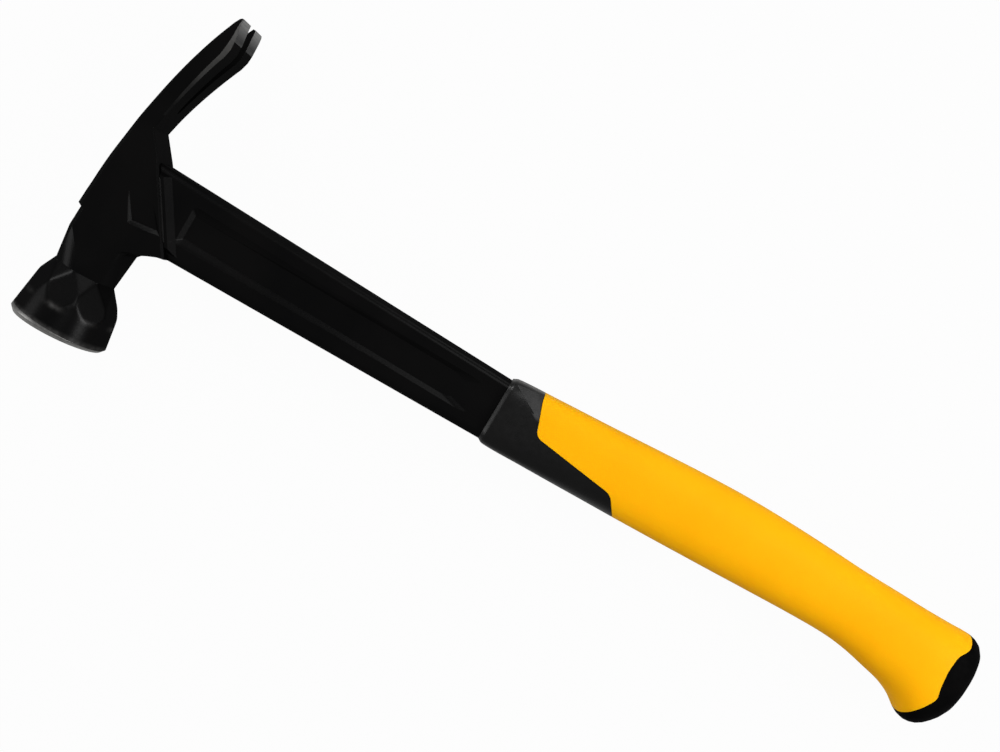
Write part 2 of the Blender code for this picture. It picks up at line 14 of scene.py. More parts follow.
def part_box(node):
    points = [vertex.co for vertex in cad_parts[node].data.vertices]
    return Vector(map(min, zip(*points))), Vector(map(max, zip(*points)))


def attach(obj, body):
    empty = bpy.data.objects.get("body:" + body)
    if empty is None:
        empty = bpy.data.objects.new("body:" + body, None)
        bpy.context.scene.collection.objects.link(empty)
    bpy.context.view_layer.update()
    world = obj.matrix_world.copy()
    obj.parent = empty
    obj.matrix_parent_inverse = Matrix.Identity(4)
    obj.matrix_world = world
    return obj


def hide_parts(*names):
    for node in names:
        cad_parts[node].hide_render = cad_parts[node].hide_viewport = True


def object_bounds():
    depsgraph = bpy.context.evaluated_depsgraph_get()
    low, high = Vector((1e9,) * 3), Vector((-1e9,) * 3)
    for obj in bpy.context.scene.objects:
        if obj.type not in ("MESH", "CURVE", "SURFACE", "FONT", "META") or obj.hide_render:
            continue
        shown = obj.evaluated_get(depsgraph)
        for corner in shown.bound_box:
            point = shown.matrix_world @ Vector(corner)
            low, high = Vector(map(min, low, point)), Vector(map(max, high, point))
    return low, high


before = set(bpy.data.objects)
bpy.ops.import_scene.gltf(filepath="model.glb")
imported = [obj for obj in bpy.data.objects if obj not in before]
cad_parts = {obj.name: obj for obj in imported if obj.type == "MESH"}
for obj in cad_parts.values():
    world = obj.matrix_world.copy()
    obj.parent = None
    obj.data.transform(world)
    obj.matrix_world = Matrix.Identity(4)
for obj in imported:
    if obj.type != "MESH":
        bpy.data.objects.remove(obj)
CAD_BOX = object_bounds()

MM = 0.001

# Half of the clearance between neighbouring pieces
GAP = 0.15

# Striking bell: places along Y, radii, and slopes in millimetres per millimetre
FACE_Y = -64.8
FACE_RADIUS = 19.0
FACE_TILT = 0.026
RIM_FRONT_Y = -63.0
RIM_RADIUS = 20.5
RIM_TAPER = 0.145
RIM_POINTS = 96
POLL_SIDES = 8
POLL_LEAN = 0.12
WAIST_X = -1.8
WAIST_Y = -38.0
WAIST_RADIUS = 13.6
FLAT_SLOPE = 0.367
SHOULDER = 7.7
FORGED_GRAIN = 0.35
FORGED_ROUNDS = 16

# Stock that the bell's cuts take off again: behind the waist, past the strike face and round the rim
BACK_STOCK = 3.0
BACK_STOCK_TAPER = 2.0
FLAT_STOCK = 4.0
CONE_BACK_STOCK = 6.0
CONE_FRONT_STOCK = 3.0
RIM_STOCK = 4.0

# Weld round the waist: distance from the waist towards the strike face, and growth of the radius
WAIST_WELD_RINGS = ((1.2, 0.15), (0.6, 0.05), (0.1, -0.1), (-0.4, -0.1), (-0.9, -0.15))

# Paint greyed on the bell: a painted highlight where each flat ends, with a share for each flat, and worn
# paint round the rim with a painted highlight on its lit side
FLAT_HIGHLIGHT_Y = -53.0
FLAT_HIGHLIGHT_LENGTH = 1.0
FLAT_HIGHLIGHT_ANGLE = 10.0
HIGHLIGHT_BY_FLAT = (1.0, 0.35, 0.6, 0.2, 0.8, 0.45, 0.25, 0.3)
RIM_WEAR_HIGHLIGHT_Y = -60.2
RIM_WEAR_HIGHLIGHT_LENGTH = 1.7
RIM_HIGHLIGHT_TURN = -25.0
RIM_HIGHLIGHT_LEAST = 0.4

# Head: top line, neck and cheeks
TOP_CURVE_RADIUS = 218.0
TOP_HEIGHT = 14.8
TOP_CREST_Y = -14.0
NECK_STEP_Y = -13.8
NECK_STEP_RUN = 0.9
NECK_STEP_DEPTH = 1.3
STEP_LIP = 0.4
STEP_LIP_RUN = 10.0
NECK_ROOT_Y = -23.2
NECK_ROOT_X = 10.8
NECK_ROOT_TOP = -13.9
NECK_SWELL_Y = -34.5
NECK_SWELL_TRIM = 0.2
CHEEK_HALF = 11.0
CHEEK_END_Y = 10.0
CHEEK_EDGE = 2.0
JOINT_EDGE = 0.4
JOINT_STATIONS = 8

# Throat between neck and shaft: Y and X of the points between the neck's root and the joint
THROAT_CURVE = ((-21.8, 12.0), (-20.5, 14.4), (-19.1, 17.8), (-17.1, 21.6))

# Claw
GUSSET_Y = 26.8
CLAW_REACH = 81.2
CLAW_THICKNESS = 7.6
CLAW_EDGE = 0.9
CLAW_STATIONS = 26
BEVEL_Y = 68.6
BEVEL_BLEND = 3.5
TIP_THICKNESS = 1.0
TIP_EDGE = 0.25
SLOT_START_Y = 36.2
SLOT_NOSE_LENGTH = 0.9
SLOT_NOSE_WIDTH = 0.8
SLOT_END_WIDTH = 2.2
SLOT_MOUTH_Y = CLAW_REACH - 2.4
SLOT_MOUTH = 8.4
SLOT_PAST = 8.0
SLOT_PAST_WIDTH = 9.6
SLOT_CUTTER_X = (-40, 60)

# Half width of the head at places along Y
HEAD_HALF_WIDTHS = (
    (NECK_ROOT_Y, CHEEK_HALF),
    (CHEEK_END_Y, CHEEK_HALF),
    (GUSSET_Y, 10.4),
    (36.0, 11.0),
    (42.0, 11.8),
    (50.0, 13.1),
    (58.0, 14.5),
    (64.0, 15.5),
    (BEVEL_Y, 16.3),
    (CLAW_REACH - 3.0, 17.1),
    (CLAW_REACH - 0.8, 16.6),
    (CLAW_REACH, 15.4),
)

# Thickness of the claw at places along Y
CLAW_THICKNESSES = (
    (GUSSET_Y, CLAW_THICKNESS),
    (BEVEL_Y - BEVEL_BLEND, CLAW_THICKNESS),
    (BEVEL_Y, CLAW_THICKNESS - 0.6),
    (BEVEL_Y + BEVEL_BLEND, CLAW_THICKNESS - 2.0),
    (CLAW_REACH, TIP_THICKNESS),
)

# Pocket in each cheek: its corners are end along X, side along Y, and depth
POCKET_CORNERS = ((0, -1, 1.2), (1, -1, 0.9), (1, 1, 0.05), (0, 1, 0.08))
POCKET_DRAFT = 1.4
POCKET_TILT = 1.4
POCKET_BOTTOM = -9.0
POCKET_TOP = 0.5
POCKET_LENGTH = 11.0
POCKET_GAP = 3.5
POCKET_CLEAR = 1

# Places along Y where the finishes change, and where they fade from one look to the other
PAINT_END_Y = -61.9
PAINT_LEAN = 0.03
FACE_FADE = (-61.0, -63.4)
# Rubbed paint with a painted highlight on the claw's cut corners: where it starts, and where it fades in
RUBBED_LIT_Y = GUSSET_Y + 6
RUBBED_LIT_FADE = (36, 74)
STEEL_Y = 71.8
STEEL_FADE = (73.8, 80.8)

# Least part of a face's normal: along X for bare steel and for rubbed paint with a painted highlight,
# along Z for a cut corner
STEEL_FACING = 0.5
RUBBED_LIT_FACING = 0.4
CORNER_SLANT = 0.4

# Shaft
JOINT_TOP_X = 4.8
JOINT_BOTTOM_X = 26.2
COLLAR_X = 169.5
SHAFT_END_X = 177.4
SHAFT_HEAD_WIDTH = 32.2
SHAFT_GRIP_WIDTH = 26.3
SHAFT_HALF = 8.5
SHAFT_FILLET = 3.2
FILLET_STEPS = 12
SEAM_CHAMFER = 1.5
SHELL_STOCK = 14
PANEL_DEPTH = 1.5
PANEL_DRAFT = 1.9
PANEL_ROUND = 1.6
PANEL_START_X = 27.6
PANEL_START_HALF = 6.6
PANEL_END_X = 152.0
PANEL_END_HALF = 5.2
PANEL_RUNOUT = 8.0
RAMP_LAND = 2.0
RAMP_LENGTH = 6.0
RAMP_TOP = 10.2
RAMP_SINK = 0.3
RAMP_ROOT = 2

# Welds
GROOVE = 1.0
GROOVE_PAST = 6
JOINT_BEAD_RADIUS = 0.7
JOINT_BEAD_INSET = 6.5
SEAM_BEAD_RADIUS = 1.2
SEAM_BEAD_SINK = 0.9
SEAM_BEAD_START = 4
SEAM_BEAD_CLEAR = 0.3
BEAD_POINTS = 12
BEAD_END = 0.45
BEAD_END_GROWTH = 0.25
RIPPLE_PITCH = 1.5
RIPPLE_HEIGHT = 0.10
RIPPLE_STEPS = 4

# Grip sections: distance from the collar's front, reach to the claw side, reach to the face side,
# half thickness and squareness
GRIP_SECTIONS = (
    (0.0, 13.9, 13.3, 10.3, 5.0),
    (2.4, 14.95, 14.4, 11.3, 5.0),
    (20.0, 16.2, 14.1, 12.0, 4.5),
    (45.0, 17.9, 13.6, 13.1, 3.2),
    (65.0, 19.4, 13.1, 13.7, 2.8),
    (85.0, 20.8, 12.4, 14.0, 2.6),
    (105.0, 21.7, 11.6, 14.1, 2.5),
    (125.0, 21.7, 10.7, 13.9, 2.5),
    (145.0, 21.1, 9.9, 13.5, 2.5),
    (160.0, 20.4, 9.8, 13.3, 2.5),
    (170.0, 20.2, 10.8, 13.5, 2.5),
    (180.0, 20.1, 12.8, 14.0, 2.5),
    (189.0, 19.9, 14.9, 14.7, 2.5),
    (196.0, 19.9, 17.9, 15.3, 2.6),
    (203.0, 20.0, 22.5, 15.6, 2.6),
    (208.5, 20.2, 22.1, 15.0, 2.6),
    (213.0, 19.6, 18.6, 13.5, 2.5),
    (217.0, 16.1, 12.8, 10.5, 2.4),
    (218.8, 8.8, 5.8, 6.2, 2.2),
)
GRIP_LENGTH = GRIP_SECTIONS[-1][0]
GRIP_END_X = COLLAR_X + GRIP_LENGTH
GRIP_POINTS = 72
GRIP_STEP = 2.0
GRIP_FRONT_STEPS = (0.35, 0.8, 1.4)
GRIP_END_STEPS = (1.2, 0.6, 0.25)

# Edges between the grip's zones, seen from the side: the collar's by distance from its front and Y,
# and the cap's by distance from the butt's end and Y
COLLAR_EDGE = ((14.0, 30.0), (14.0, 14.0), (19.4, -0.4), (56.0, -4.9), (75.0, -30.0))
COLLAR_ROUND = 2.2
CAP_EDGE = (
    (8.6, 30.0),
    (8.6, 15.6),
    (12.6, 10.7),
    (13.4, 4.0),
    (12.5, -3.1),
    (11.0, -7.8),
    (13.7, -13.3),
    (17.9, -20.6),
    (23.5, -30.0),
)
CAP_ROUND = 1.6
ZONE_PAST = 30
ZONE_HALF = 40

# Collar: three points of the flat beside the soft grip, and the reach of the flat's cutter in X and Y
FLAT_POINTS = ((171.5, 12.3, 9.9), (182.0, 8.0, 11.4), (182.0, 14.3, 9.15))
FLAT_REACH = ((166.0, 17.5), (191.0, 17.5), (191.0, 3.2), (166.0, 16.6))
FLAT_CUTTER_HEIGHT = 12

# Camera, from a fit to the photograph's outline: metres, degrees, and pixels of the photograph
IMAGE_WIDTH = 1000
FOCAL_PIXELS = 1288.42
SENSOR_WIDTH = 36.0
CAMERA_TARGET = Vector((-0.019575, 0.004124, 0.0205))
CAMERA_DISTANCE = 0.520
CAMERA_LEAN = 3.5
CAMERA_ROLL = 30.898

# Lamps: direction from the hammer, distance and size in metres, watts, and whether surfaces mirror it
LAMPS = (
    ("butt_side_light", (0.81, 0.25, 0.53), 1.15, 0.4, 8, True),
    ("head_corner_light", (-0.68, 0.528, 0.514), 1.3, 0.4, 5, True),
    ("claw_side_light", (0.06, 0.93, 0.33), 1.3, 0.5, 2, True),
    ("head_side_light", (-0.86, -0.20, 0.42), 1.2, 0.5, 3, True),
    ("face_side_light", (-0.30, -0.80, 0.52), 1.7, 1.5, 6.5, False),
    ("overhead_light", (0.12, 0.42, 0.90), 1.5, 0.7, 5, True),
)
WORLD_LIGHT = 0.25

# Floor: half its side and its place below the hammer in metres, and its grey
FLOOR_SIZE = 3.0
FLOOR_DROP = 0.0005
FLOOR_GREY = 0.35

# How far camera rays, then glossy rays, see plain white
FLOOR_WHITE = (0.97, 0.15)
WORLD_WHITE = (0.98, 0.05)


# Shapes


def closed_ring(shape, points):
    """A ring of edges through the points."""
    corners = [shape.verts.new(point) for point in points]
    return [shape.edges.new(pair) for pair in zip(corners, corners[1:] + corners[:1])]


def skinned(rings):
    """A closed solid bridged through rings that have the same number of points."""
    shape = bmesh.new()
    loops = [closed_ring(shape, points) for points in rings]
    for near, far in zip(loops, loops[1:]):
        bmesh.ops.bridge_loops(shape, edges=near + far)
    for end in (loops[0], loops[-1]):
        bmesh.ops.contextual_create(shape, geom=end)
    bmesh.ops.recalc_face_normals(shape, faces=shape.faces[:])
    return shape


def flats_joined(shape, degrees):
    """Dissolves the edges between faces that are flat to within an angle."""
    limit = math.radians(degrees)
    bmesh.ops.dissolve_limit(shape, angle_limit=limit, verts=shape.verts[:], edges=shape.edges[:])


def hulled(points):
    """The convex solid round the points, with its flat faces whole."""
    shape = bmesh.new()
    corners = [shape.verts.new(point) for point in points]
    made = bmesh.ops.convex_hull(shape, input=corners)
    left_over = made["geom_interior"] + made["geom_unused"]
    spare = {part for part in left_over if isinstance(part, bmesh.types.BMVert)}
    bmesh.ops.delete(shape, geom=list(spare), context="VERTS")
    flats_joined(shape, degrees=0.5)
    bmesh.ops.recalc_face_normals(shape, faces=shape.faces[:])
    return shape


def rounded(shape, edges, radius, segments):
    """Rounds some edges of a shape."""
    bmesh.ops.bevel(
        shape, geom=edges, offset=radius, segments=segments, profile=0.5, affect="EDGES", material=-1
    )


def plate(outline, low, high, rounding):
    """An outline in X and Y, extruded from Z = low to high, with its upright corners rounded."""
    shape = bmesh.new()
    face = shape.faces.new([shape.verts.new((x, y, low)) for x, y in outline])
    raised = bmesh.ops.extrude_face_region(shape, geom=[face])["geom"]
    corners = [part for part in raised if isinstance(part, bmesh.types.BMVert)]
    bmesh.ops.translate(shape, verts=corners, vec=(0, 0, high - low))
    upright = [edge for edge in shape.edges if edge.verts[0].co.z != edge.verts[1].co.z]
    rounded(shape, upright, rounding, segments=5)
    bmesh.ops.recalc_face_normals(shape, faces=shape.faces[:])
    return shape


def square_bar(start, end, radius, outward):
    """A straight four-sided bar between two points, with a corner of its section along outward."""
    along = (end - start).normalized()
    turn = Matrix((outward, along.cross(outward), along)).transposed().to_4x4()
    shape = bmesh.new()
    bmesh.ops.create_cone(
        shape,
        cap_ends=True,
        segments=4,
        radius1=radius,
        radius2=radius,
        depth=(end - start).length,
        matrix=Matrix.Translation((start + end) / 2) @ turn,
    )
    return shape


def bench_object(shape):
    """A passing object for one modifier; the shape is used up."""
    mesh = bpy.data.meshes.new("bench")
    shape.to_mesh(mesh)
    shape.free()
    made = bpy.data.objects.new("bench", mesh)
    bpy.context.scene.collection.objects.link(made)
    return made


def discard(used):
    """Removes a bench object and its mesh."""
    mesh = used.data
    bpy.data.objects.remove(used)
    bpy.data.meshes.remove(mesh)


def evaluated(stock):
    """A bench object's shape after its modifiers; the object is used up."""
    bpy.context.view_layer.update()
    graph = bpy.context.evaluated_depsgraph_get()
    result = bmesh.new()
    result.from_mesh(stock.evaluated_get(graph).to_mesh())
    discard(stock)
    return result


def worked(shape, tool, operation="DIFFERENCE"):
    """The shape after one cut, join or overlap with a tool."""
    stock = bench_object(shape)
    cutter = bench_object(tool)
    step = stock.modifiers.new("work", "BOOLEAN")
    step.operation = operation
    step.solver = "EXACT"
    step.object = cutter
    result = evaluated(stock)
    discard(cutter)
    flats_joined(result, degrees=0.05)
    return result


def forged(shape):
    """The shape in a fine even mesh, with its edges eased as a forging's are."""
    stock = bench_object(shape)
    step = stock.modifiers.new("fine", "REMESH")
    step.mode = "VOXEL"
    step.voxel_size = FORGED_GRAIN
    result = evaluated(stock)
    for _ in range(FORGED_ROUNDS):
        bmesh.ops.smooth_vert(
            result, verts=result.verts[:], factor=0.5, use_axis_x=True, use_axis_y=True, use_axis_z=True
        )
    return result


def scribe(shape, y, lean=0.0):
    """A line of edges round the shape at a place along Y, for a change of finish."""
    whole = shape.verts[:] + shape.edges[:] + shape.faces[:]
    bmesh.ops.bisect_plane(shape, geom=whole, plane_co=(0, y, 0), plane_no=(lean, 1, 0))


def read(value, pairs):
    """Straight-line reading of (place, size) pairs."""
    for (low, first), (high, second) in zip(pairs, pairs[1:]):
        if value <= high:
            return first + (second - first) * (value - low) / (high - low)
    return pairs[-1][1]


def eased(value, rows):
    """Smooth reading of rows that start with their place: a cubic through the neighbouring rows."""
    place = max(k for k in range(len(rows) - 1) if rows[k][0] <= value or k == 0)
    before, first = rows[max(place - 1, 0)], rows[place]
    second, after = rows[place + 1], rows[min(place + 2, len(rows) - 1)]
    span = second[0] - first[0]
    t = (value - first[0]) / span
    rise = 2 * t**3 - 3 * t**2
    leaving = t**3 - 2 * t**2 + t
    arriving = t**3 - t**2
    sizes = []
    for k in range(1, len(first)):
        start = (second[k] - before[k]) / (second[0] - before[0]) * span
        end = (after[k] - first[k]) / (after[0] - first[0]) * span
        sizes.append((1 + rise) * first[k] - rise * second[k] + leaving * start + arriving * end)
    return sizes


# Pieces

POLL_LOW, POLL_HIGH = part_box("striking_poll")
ORIGIN = Vector(
    (
        (POLL_LOW.x + POLL_HIGH.x) / 2,
        POLL_LOW.y - FACE_Y * MM,
        (POLL_LOW.z + POLL_HIGH.z) / 2,
    )
)


def dressed(name, shape, node, finishes, soft_edge, edge_angle=28):
    """Turns a shape into a piece that stands for a CAD node, with softened edges."""
    bmesh.ops.scale(shape, vec=(MM, MM, MM), verts=shape.verts[:])
    bmesh.ops.translate(shape, vec=ORIGIN, verts=shape.verts[:])
    mesh = bpy.data.meshes.new(name)
    shape.to_mesh(mesh)
    shape.free()
    for finish in finishes:
        mesh.materials.append(finish)
    mesh.shade_smooth()
    piece = bpy.data.objects.new(name, mesh)
    bpy.context.scene.collection.objects.link(piece)
    soft = piece.modifiers.new("soft edges", "BEVEL")
    soft.width = soft_edge * MM
    soft.segments = 3
    soft.limit_method = "ANGLE"
    soft.angle_limit = math.radians(edge_angle)
    soft.use_clamp_overlap = True
    soft.harden_normals = True
    even = piece.modifiers.new("even shading", "WEIGHTED_NORMAL")
    even.mode = "FACE_AREA"
    even.weight = 100
    even.keep_sharp = True
    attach(piece, "root")
    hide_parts(node)


def shaft_half_width(x):
    """Half of the shaft's width at a place along X."""
    taper = (SHAFT_HEAD_WIDTH - SHAFT_GRIP_WIDTH) / (COLLAR_X - JOINT_BOTTOM_X)
    return (SHAFT_HEAD_WIDTH - taper * (x - JOINT_BOTTOM_X)) / 2


# Slanting joint of head and shaft: its ends, its direction, the way out to the shaft, and X where Y is 0
JOINT_TOP = Vector((JOINT_TOP_X, shaft_half_width(JOINT_TOP_X), 0))
JOINT_BOTTOM = Vector((JOINT_BOTTOM_X, -shaft_half_width(JOINT_BOTTOM_X), 0))
JOINT_ALONG = (JOINT_TOP - JOINT_BOTTOM).normalized()
JOINT_OUTWARD = Vector((JOINT_ALONG.y, -JOINT_ALONG.x, 0))
JOINT_LEAN = -JOINT_ALONG.x / JOINT_ALONG.y
JOINT_X = JOINT_TOP.x + JOINT_LEAN * JOINT_TOP.y

# Width of the head's cut corners at places along Y, on its top and on its underside
UPPER_EDGES = (
    (NECK_ROOT_Y, CHEEK_EDGE),
    (JOINT_TOP.y, CHEEK_EDGE),
    (GUSSET_Y, CLAW_EDGE),
    (BEVEL_Y, CLAW_EDGE),
    (CLAW_REACH, TIP_EDGE),
)
LOWER_EDGES = (
    (NECK_ROOT_Y, CHEEK_EDGE),
    (JOINT_BOTTOM.y, JOINT_EDGE),
    (JOINT_TOP.y, JOINT_EDGE),
    (GUSSET_Y, 0.6),
    (42.0, 0.9),
    (60.0, 1.4),
    (BEVEL_Y, 1.8),
    (CLAW_REACH, TIP_EDGE),
)


def claw_arc(y, inset):
    """X of the head's top line, or of a line inset below it."""
    radius = TOP_CURVE_RADIUS - inset
    return TOP_CURVE_RADIUS - TOP_HEIGHT - math.sqrt(radius**2 - (y - TOP_CREST_Y) ** 2)


def head_top(y):
    """X of the head's top at a place along Y, with the step where the neck starts."""
    if y >= NECK_STEP_Y:
        return claw_arc(y, 0) - read(y, ((NECK_STEP_Y, STEP_LIP), (NECK_STEP_Y + STEP_LIP_RUN, 0)))
    step_x = claw_arc(NECK_STEP_Y, 0) + NECK_STEP_DEPTH
    return read(y, ((NECK_ROOT_Y, NECK_ROOT_TOP), (NECK_STEP_Y, step_x)))


def head_under(y):
    """X of the head's underside at a place along Y, with the slanting joint."""
    if y >= GUSSET_Y:
        return claw_arc(y, read(y, CLAW_THICKNESSES))
    corners = (
        (NECK_ROOT_Y, NECK_ROOT_X),
        *THROAT_CURVE,
        (JOINT_BOTTOM.y, JOINT_BOTTOM.x),
        (JOINT_TOP.y, JOINT_TOP.x),
        (GUSSET_Y, claw_arc(GUSSET_Y, CLAW_THICKNESS)),
    )
    return read(y, corners)


def head_section(y):
    """Eight-sided section across the head: a rectangle with its corners cut off."""
    top, under, half = head_top(y), head_under(y), read(y, HEAD_HALF_WIDTHS)
    upper, lower = read(y, UPPER_EDGES), read(y, LOWER_EDGES)
    near = ((top, half - upper), (top + upper, half), (under - lower, half), (under, half - lower))
    far = [(x, -z) for x, z in reversed(near)]
    return [(x, y, z) for x, z in (*near, *far)]


def turned_octagon(y, x, radius, turn):
    """Eight corners round the poll's axis, the first turned from the cheek side by a part of a step."""
    step = 2 * math.pi / POLL_SIDES
    angles = [step * (k + turn) for k in range(POLL_SIDES)]
    return [(x + radius * math.sin(a), y, radius * math.cos(a)) for a in angles]


def head_stations():
    """Places along Y where the head has a section, from the neck's root to the tips."""
    places = {NECK_ROOT_Y, JOINT_BOTTOM.y, NECK_STEP_Y - NECK_STEP_RUN, NECK_STEP_Y}
    places |= {y for y, x in THROAT_CURVE}
    joint = JOINT_TOP.y - JOINT_BOTTOM.y
    places |= {JOINT_BOTTOM.y + joint * k / JOINT_STATIONS for k in range(2, JOINT_STATIONS + 1)}
    places |= {GUSSET_Y + (BEVEL_Y - GUSSET_Y) * k / CLAW_STATIONS for k in range(CLAW_STATIONS + 1)}
    places |= {BEVEL_Y - BEVEL_BLEND, BEVEL_Y + BEVEL_BLEND}
    places |= {y for y, half in HEAD_HALF_WIDTHS if y > BEVEL_Y}
    return sorted(places)


def head_with_neck():
    """The head's body and the faceted neck, joined where the neck starts."""
    head = skinned([head_section(y) for y in head_stations()])
    swell_radius = WAIST_RADIUS - NECK_SWELL_TRIM
    swell = turned_octagon(NECK_SWELL_Y, WAIST_X - NECK_SWELL_TRIM, swell_radius, 0)
    waist = turned_octagon(WAIST_Y + GAP, WAIST_X, WAIST_RADIUS, 0)
    neck = hulled(head_section(NECK_ROOT_Y) + swell + waist)
    same = 0.01
    for shape in (head, neck):
        inner = []
        for face in shape.faces:
            if all(abs(corner.co.y - NECK_ROOT_Y) < same for corner in face.verts):
                inner.append(face)
        bmesh.ops.delete(shape, geom=inner, context="FACES_ONLY")
    carrier = bpy.data.meshes.new("neck")
    neck.to_mesh(carrier)
    neck.free()
    head.from_mesh(carrier)
    bpy.data.meshes.remove(carrier)
    bmesh.ops.remove_doubles(head, verts=head.verts[:], dist=same)
    bmesh.ops.recalc_face_normals(head, faces=head.faces[:])
    return head


def make_head(paint, bare_steel, rubbed_lit):
    """Claw, cheeks and neck, with bare steel under the tips, and rubbed paint with a painted highlight on
    the claw's cut corners.
    """
    head = worked(head_with_neck(), claw_slot())
    for side in (1, -1):
        head = worked(head, cheek_pocket(side))
        head = worked(head, joint_groove(side))
    scribe(head, STEEL_Y)
    for face in head.faces:
        y = face.calc_center_median().y
        slanted = abs(face.normal.z) > CORNER_SLANT
        if y > STEEL_Y and face.normal.x > STEEL_FACING and not slanted:
            face.material_index = 1
        # Cut corners that face towards the shaft get rubbed paint with a painted highlight
        elif y > RUBBED_LIT_Y and face.normal.x > RUBBED_LIT_FACING and slanted:
            face.material_index = 2
    finishes = [paint, bare_steel, rubbed_lit]
    dressed("claw_head", head, "head_forging", finishes, soft_edge=0.45)


def claw_slot():
    """Cutter for the slot between the tines: a short nose, then a V that widens to the tips."""
    edge = (
        (SLOT_START_Y, SLOT_NOSE_WIDTH / 2),
        (SLOT_START_Y + SLOT_NOSE_LENGTH, SLOT_END_WIDTH / 2),
        (SLOT_MOUTH_Y, SLOT_MOUTH / 2),
        (CLAW_REACH + SLOT_PAST, SLOT_PAST_WIDTH / 2),
    )
    outline = [*edge, *((y, -z) for y, z in reversed(edge))]
    return skinned([[(x, y, z) for y, z in outline] for x in SLOT_CUTTER_X])


def cheek_pocket(side):
    """Shallow panel in a cheek: a parallelogram along the joint, deepest at its lower front corner."""
    corners = []
    for rise in (0, 1):
        for end, y, depth in POCKET_CORNERS:
            height = depth + POCKET_CLEAR
            spread = POCKET_DRAFT * rise * height
            high = (POCKET_BOTTOM if y < 0 else POCKET_TOP) + y * spread
            x = JOINT_X - POCKET_GAP - POCKET_LENGTH * (1 - end) + spread * (2 * end - 1)
            x -= JOINT_LEAN * high
            high += POCKET_TILT * end * (1 - y) / 2
            corners.append((x, high, side * (CHEEK_HALF - depth + rise * height)))
    return hulled(corners)


def joint_groove(side):
    """Cutter for the groove along the joint on one cheek, in the middle of the joint's gap."""
    middle = JOINT_OUTWARD * GAP + Vector((0, 0, side * CHEEK_HALF))
    past = JOINT_ALONG * GROOVE_PAST
    return square_bar(JOINT_BOTTOM + middle - past, JOINT_TOP + middle + past, GROOVE, Vector((0, 0, 1)))


def poll_ring(away, radius, turn):
    """Octagon on the poll's leaning axis, at a distance from the waist towards the strike face."""
    return turned_octagon(WAIST_Y - GAP - away, WAIST_X + POLL_LEAN * away, radius, turn)


def rim_circle(y, radius, tilt=0.0):
    """Circle round the bell's axis, leaning back by a tilt on the side towards the butt."""
    angles = [2 * math.pi * k / RIM_POINTS for k in range(RIM_POINTS)]
    return [(radius * math.sin(a), y + tilt * (1 + math.sin(a)), radius * math.cos(a)) for a in angles]


def poll_wear_and_highlight(place):
    """How grey the paint is at a place: a painted highlight in the middle of each flat's end, and worn
    paint round the rim, lighter on its lit side as a painted highlight.
    """
    step = 360 / POLL_SIDES
    around = math.degrees(math.atan2(place.x, place.z))
    flat = round(around / step)
    away = (around - flat * step) / FLAT_HIGHLIGHT_ANGLE
    along = (place.y - FLAT_HIGHLIGHT_Y) / FLAT_HIGHLIGHT_LENGTH
    at_flat = HIGHLIGHT_BY_FLAT[flat % POLL_SIDES] * math.exp(-(away**2) - along**2)
    # The rim's band is lighter on the side the light falls on: a painted highlight over the worn paint
    facing = (1 + math.cos(math.radians(around - RIM_HIGHLIGHT_TURN))) / 2
    at_rim = min(max((RIM_WEAR_HIGHLIGHT_Y - place.y) / RIM_WEAR_HIGHLIGHT_LENGTH, 0), 1)
    return at_flat + at_rim * (RIM_HIGHLIGHT_LEAST + (1 - RIM_HIGHLIGHT_LEAST) * facing)


def poll_form():
    """Eight kite-shaped flats that open from the waist and run out on a turned rim."""
    corner = math.cos(math.pi / POLL_SIDES)
    corners = poll_ring(-BACK_STOCK, WAIST_RADIUS - BACK_STOCK_TAPER, 0) + poll_ring(0, WAIST_RADIUS, 0)
    for away in (SHOULDER, WAIST_Y - FACE_Y + FLAT_STOCK):
        corners += poll_ring(away, (WAIST_RADIUS + FLAT_SLOPE * away) / corner, 0.5)
    cone = []
    for y in (WAIST_Y + CONE_BACK_STOCK, FACE_Y - CONE_FRONT_STOCK):
        cone.append(rim_circle(y, RIM_RADIUS - RIM_TAPER * (y - RIM_FRONT_Y)))
    poll = forged(worked(hulled(corners), skinned(cone), "INTERSECT"))
    lean = (RIM_RADIUS - FACE_RADIUS) / (RIM_FRONT_Y - FACE_Y)
    wide = RIM_RADIUS + RIM_STOCK
    front = ((WAIST_Y - GAP, wide), (FACE_Y + (wide - FACE_RADIUS) / lean, wide), (FACE_Y, FACE_RADIUS))
    tilt = FACE_TILT * FACE_RADIUS
    return worked(poll, skinned([rim_circle(y, radius, tilt) for y, radius in front]), "INTERSECT")


def make_poll(paint, bare_steel):
    """Striking bell with a bare face, and worn paint and painted highlights kept at the mesh's corners."""
    poll = poll_form()
    scribe(poll, PAINT_END_Y, PAINT_LEAN)
    for face in poll.faces:
        middle = face.calc_center_median()
        face.material_index = int(middle.y + PAINT_LEAN * middle.x < PAINT_END_Y)
    # Grey for worn paint and painted highlights, kept at each corner of the mesh
    wear_and_highlight = poll.verts.layers.float.new("wear_and_highlight")
    for vert in poll.verts:
        vert[wear_and_highlight] = poll_wear_and_highlight(vert.co)
    dressed("striking_bell", poll, "striking_poll", [paint, bare_steel], soft_edge=0.3)


def make_poll_weld(paint):
    """Weld round the waist, dressed flush, with as many flats as the neck."""
    weld = skinned([poll_ring(away, WAIST_RADIUS + growth, 0) for away, growth in WAIST_WELD_RINGS])
    dressed("bell_weld", weld, "poll_weld", [paint], soft_edge=0.2)


def shell_section(x, side):
    """Section of one half shell: flat on the seam, with rounded outer edges."""
    half = shaft_half_width(x)
    edge = [(half - SEAM_CHAMFER, GAP), (half, SEAM_CHAMFER + GAP)]
    for k in range(FILLET_STEPS + 1):
        turn = math.pi / 2 * k / FILLET_STEPS
        y = half - SHAFT_FILLET * (1 - math.cos(turn))
        edge.append((y, SHAFT_HALF - SHAFT_FILLET * (1 - math.sin(turn))))
    mirrored = [(-y, z) for y, z in reversed(edge)]
    return [(x, y, side * z) for y, z in edge + mirrored]


